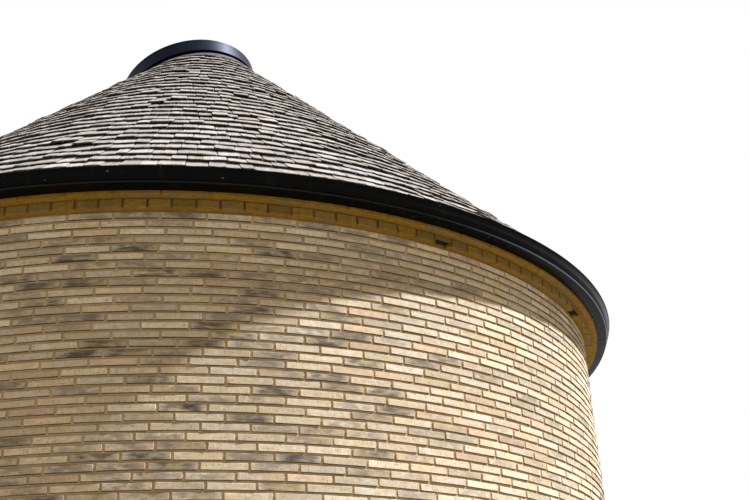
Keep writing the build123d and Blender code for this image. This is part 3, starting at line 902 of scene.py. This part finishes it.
shingle_marks = chance.random((total, 3))
shingle_picks = chance.integers(0, len(shingles), total)
shingle_taper = cos(ROOF_PITCH) / rows[:, 4]


def past_lead(spots):
    """How far places lie above the cut under the frame, which leaves a strip of lead to show."""
    way = spots[:, :2] / np.hypot(spots[:, 0], spots[:, 1])[:, None]
    fall = sin(ROOF_PITCH) * kerb_up[2] - cos(ROOF_PITCH) * (way @ kerb_up[:2])
    return (spots - kerb_middle) @ kerb_up + UNDER_FRAME + LEAD_SHOWN * fall


def under_kerb(mesh):
    """Cut the heads of the shingles flat under the rooflight's frame and clear of its upstand."""
    spots = np.empty(len(mesh.vertices) * 3)
    mesh.vertices.foreach_get("co", spots)
    spots = spots.reshape(-1, 3)
    rise = past_lead(spots)
    spots -= np.maximum(rise, 0)[:, None] * kerb_up
    x, y = (spots - kerb_middle) @ kerb_across, (spots - kerb_middle) @ kerb_along
    ring = np.hypot(x / (kerb_short - FRAME_BAND), y / (kerb_long - FRAME_BAND))
    inside = (ring < 1) & (spots[:, 2] > ROOFLIGHT_LEVEL - 1.2)
    push = np.where(inside, 1 / np.maximum(ring, 0.05) - 1, 0)
    spots += (x * push)[:, None] * kerb_across + (y * push)[:, None] * kerb_along
    mesh.vertices.foreach_set("co", spots.ravel())
    mesh.update()


below = past_lead(shingle_places[:, :, 3]) < 0
field_of = (rows[:, 0] // 60).astype(int)
for number in range(6):
    chosen = (field_of == number) & below
    name = f"shingle_field_{number + 1}_shingles"
    mesh = lay(
        name, shingles, shingle_picks[chosen], shingle_places[chosen], shingle_sizes[chosen],
        shingle_marks[chosen], shingle_taper[chosen],
    )
    under_kerb(mesh)
    field = stand(mesh, name, weathered_shingle)
    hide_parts(f"shingle_field_{number + 1}")
    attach(field, "root")


# Rooflight.
# An elliptical frame of folded metal, painted slate black, leans down to the back and the left on
# an upstand, plastered inside; it holds one flat glass unit, and a narrow strip of the lead sheet
# that is dressed from under it shows above the shingles.
UPSTAND_INSET = 0.03
frame_paint, tree, shader, where = finish(
    "slate_frame_paint", 0.4, Specular_IOR_Level=0.1, Specular_Tint=srgb(140, 170, 215)
)
dust = cloud(tree, where, 6.0, 5.0, 0.6)
slate = shades(tree, dust, (0.3, (7, 12, 25)), (0.6, (11, 18, 33)), (0.8, (22, 28, 42)))
runs = cloud(tree, stretched(tree, where, (24.0, 24.0, 2.0)), 1.0, 3.0)
slate = stain(tree, slate, fade(tree, runs, 0.56, 0.74), 0.3, (48, 52, 60))
colours(tree, shader, slate, sums(tree, "MULTIPLY_ADD", dust, 0.2, 0.36))
grain(tree, shader, cloud(tree, where, 160.0, 3.0), 0.12, 0.0008)

lead, tree, shader, where = finish("lead_sheet", 0.65)
bloom = cloud(tree, where, 8.0, 6.0, 0.65)
grey = shades(tree, bloom, (0.3, (58, 50, 50)), (0.55, (70, 61, 60)), (0.75, (88, 79, 77)))
rain = cloud(tree, stretched(tree, where, (20.0, 20.0, 3.0)), 1.0, 4.0)
grey = stain(tree, grey, fade(tree, rain, 0.55, 0.72), 0.4, (50, 44, 44))
colours(tree, shader, grey, sums(tree, "MULTIPLY_ADD", bloom, 0.3, 0.42))
beaten = sums(tree, "MULTIPLY_ADD", cloud(tree, where, 20.0, 2.0), 2.0, bloom)
grain(tree, shader, beaten, 0.6, 0.003)

glass, tree, shader, where = finish("rooflight_glass", 0.03, Transmission_Weight=0.92, IOR=1.5)
film = cloud(tree, where, 4.0, 5.0, 0.6)
tinge = shades(tree, film, (0.3, (224, 236, 236)), (0.8, (206, 220, 218)))
colours(tree, shader, tinge, sums(tree, "MULTIPLY_ADD", fade(tree, film, 0.5, 0.9), 0.12, 0.02))
grain(tree, shader, cloud(tree, where, 2.5, 2.0), 0.04, 0.002)

dress("rooflight_frame", frame_paint)
dress("rooflight_glass", glass)
dress("lead_flashing", lead)
upstand, tree, shader, where = finish("lined_upstand", 0.8)
from_middle = node(tree, "VectorMath", {0: where, 1: tuple(kerb_middle)}, operation="SUBTRACT")
squares = []
for way, half in ((kerb_across, kerb_short), (kerb_along, kerb_long)):
    sockets = {0: from_middle.outputs[0], 1: tuple(way / (half - FRAME_BAND - UPSTAND_INSET))}
    part = node(tree, "VectorMath", sockets, operation="DOT_PRODUCT").outputs["Value"]
    squares.append(sums(tree, "POWER", sums(tree, "ABSOLUTE", part), 2.0))
outside = fade(tree, sums(tree, "ADD", *squares), 0.98, 1.02)
trowel = cloud(tree, where, 9.0, 5.0)
white = shades(tree, trowel, (0.3, (222, 220, 213)), (0.7, (232, 230, 224)))
# The upstand is white inside and dark brown-grey outside, where it shows under the frame.
dark_outside = shades(tree, trowel, (0.3, (44, 39, 41)), (0.7, (58, 51, 54)))
colours(tree, shader, over(tree, outside, white, dark_outside))
grain(tree, shader, cloud(tree, where, 90.0, 4.0), 0.3, 0.002)
dress("rooflight_upstand", upstand)


# Inner leaf and ring beam.
# Blockwork inside the cavity, skimmed with plaster and painted off-white, under a ring beam that
# ties the wall head and carries the roof.
plaster, tree, shader, where = finish("painted_plaster", 0.85)
trowel = cloud(tree, where, 3.0, 6.0, 0.6)
white = shades(tree, trowel, (0.3, (222, 220, 213)), (0.7, (232, 230, 224)))
scuff = cloud(tree, where, 11.0, 4.0, 0.7)
white = stain(tree, white, fade(tree, scuff, 0.64, 0.76), 0.35, (206, 202, 192))
colours(tree, shader, white, sums(tree, "MULTIPLY_ADD", trowel, 0.2, 0.72))
skimmed = sums(tree, "MULTIPLY_ADD", cloud(tree, where, 90.0, 4.0), 0.3, trowel)
grain(tree, shader, skimmed, 0.3, 0.002)
for name in (
    "inner_wall_front", "inner_wall_front_right", "inner_wall_back_right", "inner_wall_back_left",
    "inner_wall_front_left", "inner_pier_right", "inner_pier_left", "inner_over_door", "ring_beam",
):
    dress(name, plaster)


# Ceiling.
# The roof deck's inside is a cone lined with tapered painted boards, 180 to a turn, that run up
# to the rooflight.
BOARDS = 180
ceiling, tree, shader, where = finish("ceiling_boards", 0.6)
x, y, _ = apart(tree, where)
bearing = sums(tree, "ARCTAN2", y, x)
board = sums(tree, "MULTIPLY", bearing, BOARDS / (2 * pi))
gap = sums(tree, "PINGPONG", board, 0.5)
groove = sums(tree, "SUBTRACT", 1.0, fade(tree, gap, 0.0, 0.03))
which = sums(tree, "FLOOR", board)
shade = node(tree, "TexWhiteNoise", {"W": which}, noise_dimensions="1D").outputs[0]
boards = shades(tree, shade, (0.0, (222, 217, 206)), (1.0, (234, 231, 222)))
veins = cloud(tree, stretched(tree, where, (30.0, 30.0, 3.0)), 1.0, 4.0)
veined = shades(tree, veins, (0.3, (228, 222, 210)), (0.7, (255, 255, 252)))
boards = over(tree, 0.5, boards, veined, "MULTIPLY")
boards = stain(tree, boards, groove, 0.6, (130, 122, 110))
colours(tree, shader, boards, sums(tree, "MULTIPLY_ADD", veins, 0.2, 0.5))
raised = sums(tree, "MULTIPLY_ADD", groove, -1.0, sums(tree, "MULTIPLY", veins, 0.15))
grain(tree, shader, raised, 0.6, 0.003)
for number in range(4):
    dress(f"roof_deck_{number + 1}", ceiling)


# Floor, threshold and door lining.
# A power-floated screed inside, a worn stone slab through the doorway, and a lining of planed
# boards, painted dark, that closes the cavity round the opening.
screed, tree, shader, where = finish("floor_screed", 0.5)
floated = cloud(tree, where, 2.2, 7.0, 0.62, 0.6)
grey = shades(tree, floated, (0.3, (164, 161, 155)), (0.5, (180, 177, 171)), (0.7, (190, 188, 182)))
speck = cloud(tree, where, 260.0, 2.0)
grey = stain(tree, grey, fade(tree, speck, 0.62, 0.7), 0.4, (130, 127, 121))
colours(tree, shader, grey, sums(tree, "MULTIPLY_ADD", floated, 0.35, 0.28))
grain(tree, shader, sums(tree, "MULTIPLY_ADD", speck, 0.2, floated), 0.15, 0.002)
dress("floor_slab", screed)

stone, tree, shader, where = finish("threshold_stone", 0.7)
bedding = cloud(tree, stretched(tree, where, (3.0, 9.0, 30.0)), 1.0, 6.0, 0.6)
buff = shades(tree, bedding, (0.3, (170, 160, 142)), (0.5, (190, 181, 163)), (0.7, (204, 196, 180)))
fossil = cloud(tree, where, 120.0, 3.0)
buff = stain(tree, buff, fade(tree, fossil, 0.58, 0.7), 0.4, (146, 136, 118))
colours(tree, shader, buff, sums(tree, "MULTIPLY_ADD", bedding, 0.3, 0.5))
grain(tree, shader, sums(tree, "MULTIPLY_ADD", fossil, 0.6, bedding), 0.4, 0.002)
dress("threshold", stone)

dark_boards, tree, shader, where = finish("dark_painted_boards", 0.45)
fibre = cloud(tree, stretched(tree, where, (60.0, 60.0, 3.0)), 1.0, 4.0)
dark = shades(tree, fibre, (0.3, (48, 50, 54)), (0.7, (60, 62, 66)))
rub = cloud(tree, where, 12.0, 4.0)
dark = stain(tree, dark, fade(tree, rub, 0.62, 0.74), 0.4, (84, 84, 84))
colours(tree, shader, dark, sums(tree, "MULTIPLY_ADD", fibre, 0.25, 0.3))
grain(tree, shader, fibre, 0.3, 0.001)
dress("door_lining", dark_boards)
